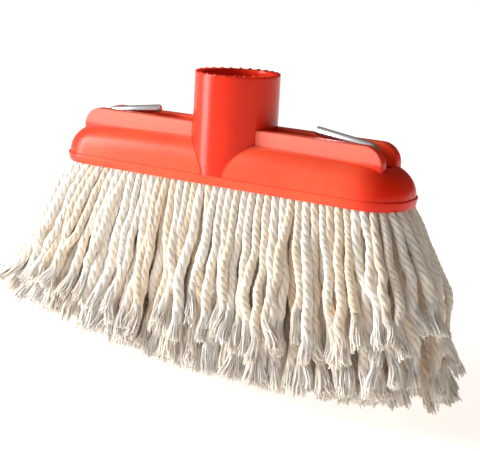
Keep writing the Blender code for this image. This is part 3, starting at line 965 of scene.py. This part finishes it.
class MOP_OT_stage(bpy.types.Operator):
    """Make the floor, the soft light and the camera"""

    bl_idname = "mop.stage"
    bl_label = "Stage"

    def execute(self, context):
        """Add the stage."""
        scene = context.scene
        settings = scene.mop_stage
        scene.view_settings.view_transform = "Standard"
        self.add_floor(settings)
        self.add_sky(scene, settings)
        self.add_key(scene, settings)
        self.add_panel(scene, settings)
        self.add_camera(scene, settings)
        return {"FINISHED"}

    def add_floor(self, settings):
        """Lay a plain pale floor that gives off a little light."""
        material, nodes, shader = new_material("plain_floor")
        nodes.feed(shader, {
            "Base Color": colour(settings.floor_colour), "Roughness": 0.9,
            "Specular IOR Level": 0.1, "Emission Color": (1.0, 0.95, 0.90, 1.0),
            "Emission Strength": settings.floor_glow,
        })
        half = 6e4
        corners = [(-half, -half, 0), (half, -half, 0), (half, half, 0), (-half, half, 0)]
        make_mesh("floor", [(corners, [(0, 1, 2, 3)])], [material])

    def add_sky(self, scene, settings):
        """Light the scene from all round, most from the front left."""
        world = bpy.data.worlds.new("studio")
        world.use_nodes = True
        nodes = Nodes(world.node_tree)
        direction = nodes.get("ShaderNodeTexCoord", None, None, 0)
        brightest = (-0.80, -0.57, 0.19)
        facing = nodes.vector("DOT_PRODUCT", direction, brightest, output=1).between(-0.3, 1.0)
        nodes.feed(world.node_tree.nodes["Background"], {
            "Color": nodes.mix(facing, colour(settings.sky_colour), (1.0, 1.0, 1.0, 1.0)),
            "Strength": settings.sky * (0.4 + 2.6 * facing),
        })
        scene.world = world

    def add_light(self, scene, light, toward):
        """Put a light in the scene, shining from a direction."""
        lamp = bpy.data.objects.new(light.name, light)
        lamp.rotation_euler = Vector(toward).normalized().to_track_quat("Z", "Y").to_euler()
        scene.collection.objects.link(lamp)
        return lamp

    def add_key(self, scene, settings):
        """Add the soft main light, high at the front left."""
        light = bpy.data.lights.new("key", "SUN")
        light.energy = settings.key
        light.angle = math.radians(22.0)
        toward = (-0.86, -0.52, 0.46)
        self.add_light(scene, light, toward)

    def add_panel(self, scene, settings):
        """Stand a tall soft panel at the front left, for the upright highlight on the socket."""
        light = bpy.data.lights.new("panel", "AREA")
        light.shape = "RECTANGLE"
        light.size, light.size_y = 0.13, 0.32
        light.energy = settings.panel
        distance, height = 0.36, 0.165
        turn = math.radians(-147.0)
        panel = self.add_light(scene, light, (math.cos(turn), math.sin(turn), 0.1))
        panel.location = (distance * math.cos(turn), distance * math.sin(turn), height)
        panel.visible_camera = False

    def add_camera(self, scene, settings):
        """Stand the camera in front, turned towards the right end, a little above the head."""
        turn, tilt, roll = (math.radians(a) for a in (30.84, 13.07, 3.03))
        distance = 0.44878
        target = Vector((4.13 * MM, 0.0, (BASE_Z - 16.33) * MM))
        look = Vector((
            -math.sin(turn) * math.cos(tilt), math.cos(turn) * math.cos(tilt), -math.sin(tilt),
        ))
        right = Vector((math.cos(turn), math.sin(turn), 0.0))
        up = right.cross(look)
        across = right * math.cos(roll) + up * math.sin(roll)
        above_it = up * math.cos(roll) - right * math.sin(roll)
        data = bpy.data.cameras.new("camera")
        data.lens = settings.focal
        data.sensor_width = 36.0
        data.clip_start = 0.01
        camera = bpy.data.objects.new("camera", data)
        matrix = Matrix((across, above_it, -look)).transposed().to_4x4()
        matrix.translation = target - look * distance
        camera.matrix_world = matrix
        scene.collection.objects.link(camera)
        scene.camera = camera


class MOP_OT_strings(bpy.types.Operator):
    """Make every cotton string, by bunch, with the outermost as separate cords"""

    bl_idname = "mop.strings"
    bl_label = "Strings"

    def execute(self, context):
        """Lay the legs and spin them; the core bunches ride on the head's body."""
        settings = context.scene.mop_strings
        chance = np.random.default_rng(settings.seed)
        tree = string_tree(cotton_material(settings))
        legs_by_group = outer_legs(chance)
        groups = (
            ("front", "front_strings_%02d", (0, -1), 2),
            ("back", "back_strings_%02d", (0, 1), 0),
            ("left_end", "left_end_strings_%d", (-1, 0), 2),
            ("right_end", "right_end_strings_%d", (1, 0), 2),
        )
        for label, node, (side_x, side_y), loose in groups:
            body = label + "_strings"
            for index, legs in enumerate(legs_by_group[label]):
                free = legs[:loose]
                for number, leg in enumerate(free):
                    name = "%s_string_%02d_%s" % (label, index + 1, "ab"[number])
                    self.add_cord(name, leg, tree, settings, body, side_x, side_y)
                name = "%s_bunch_%02d" % (label, index + 1)
                piece = spin(name, legs[len(free):], tree, settings, FINE)
                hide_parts(node % (index + 1))
                bend_at_rim(piece)
        for index, legs in enumerate(core_legs(chance)):
            piece = spin("core_bunch_%02d" % (index + 1), legs, tree, settings, COARSE)
            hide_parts("core_strings_%02d" % (index + 1))
            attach(piece, "head")
        return {"FINISHED"}

    def add_cord(self, name, leg, tree, settings, body, side_x, side_y):
        """Make one free string."""
        piece = spin(name, [leg], tree, settings, FINE)
        bend_at_rim(piece)


class MOP_OT_head(bpy.types.Operator):
    """Make the moulded head: base, ridges and toothed handle socket"""

    bl_idname = "mop.head"
    bl_label = "Head"

    def execute(self, context):
        """Make the head and put it in the CAD node's place."""
        settings = context.scene.mop_head
        material = plastic_material(settings)
        base = make_mesh("base", [base_shape()])
        cut(base, [make_mesh("slot", [slot_shape(side)]) for side in (-1, 1)])
        socket = make_mesh("socket", [socket_shape()])
        cut(socket, [make_mesh("hollow", [loft(hollow_rings(-1.0))])])
        radius = settings.edge_radius / MM
        ridges = make_mesh("ridges", [
            ridge_shape(end, side, radius) for end in (-1, 1) for side in (-1, 1)
        ])
        build = bmesh.new()
        for part in (base, socket, ridges):
            build.from_mesh(part.data)
            bpy.data.objects.remove(part, do_unlink=True)
        head = finish_mesh("head_shell", build, [material], 32.0)
        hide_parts("head_moulding")
        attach(head, "head")
        return {"FINISHED"}


class MOP_OT_wire(bpy.types.Operator):
    """Make the clamp wire with its ends bent over"""

    bl_idname = "mop.wire"
    bl_label = "Clamp wire"

    def execute(self, context):
        """Make the wire and put it in the CAD node's place."""
        material = wire_material(context.scene.mop_head)
        wire = make_mesh("galvanised_wire_clamp", [wire_shape()], [material], 50.0)
        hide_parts("clamp_wire")
        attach(wire, "head")
        return {"FINISHED"}


class MOP_PT_panel(bpy.types.Panel):
    """Lists the mop's sizes, colours and steps."""

    bl_label = "String mop"
    bl_idname = "MOP_PT_panel"
    bl_space_type = "VIEW_3D"
    bl_region_type = "UI"
    bl_category = "Mop"

    def draw(self, context):
        """Draw the settings, then the buttons."""
        for group in (context.scene.mop_head, context.scene.mop_strings, context.scene.mop_stage):
            box = self.layout.box()
            for name in group.__annotations__:
                box.prop(group, name)
        for name in STEPS:
            self.layout.operator("mop." + name)


STEPS = ("stage", "strings", "head", "wire")
SETTINGS = (
    ("mop_head", HeadSettings), ("mop_strings", StringSettings), ("mop_stage", StageSettings),
)
CLASSES = (
    HeadSettings, StringSettings, StageSettings,
    MOP_OT_stage, MOP_OT_strings, MOP_OT_head, MOP_OT_wire, MOP_PT_panel,
)


def register():
    """Register the classes and add the settings to the scene."""
    for item in CLASSES:
        bpy.utils.register_class(item)
    for name, kind in SETTINGS:
        setattr(bpy.types.Scene, name, bpy.props.PointerProperty(type=kind))


def unregister():
    """Take the settings and the classes away again."""
    for name, _ in SETTINGS:
        delattr(bpy.types.Scene, name)
    for item in reversed(CLASSES):
        bpy.utils.unregister_class(item)


def main():
    """Make the whole mop."""
    register()
    for name in STEPS:
        getattr(bpy.ops.mop, name)()


if __name__ == "__main__":
    main()
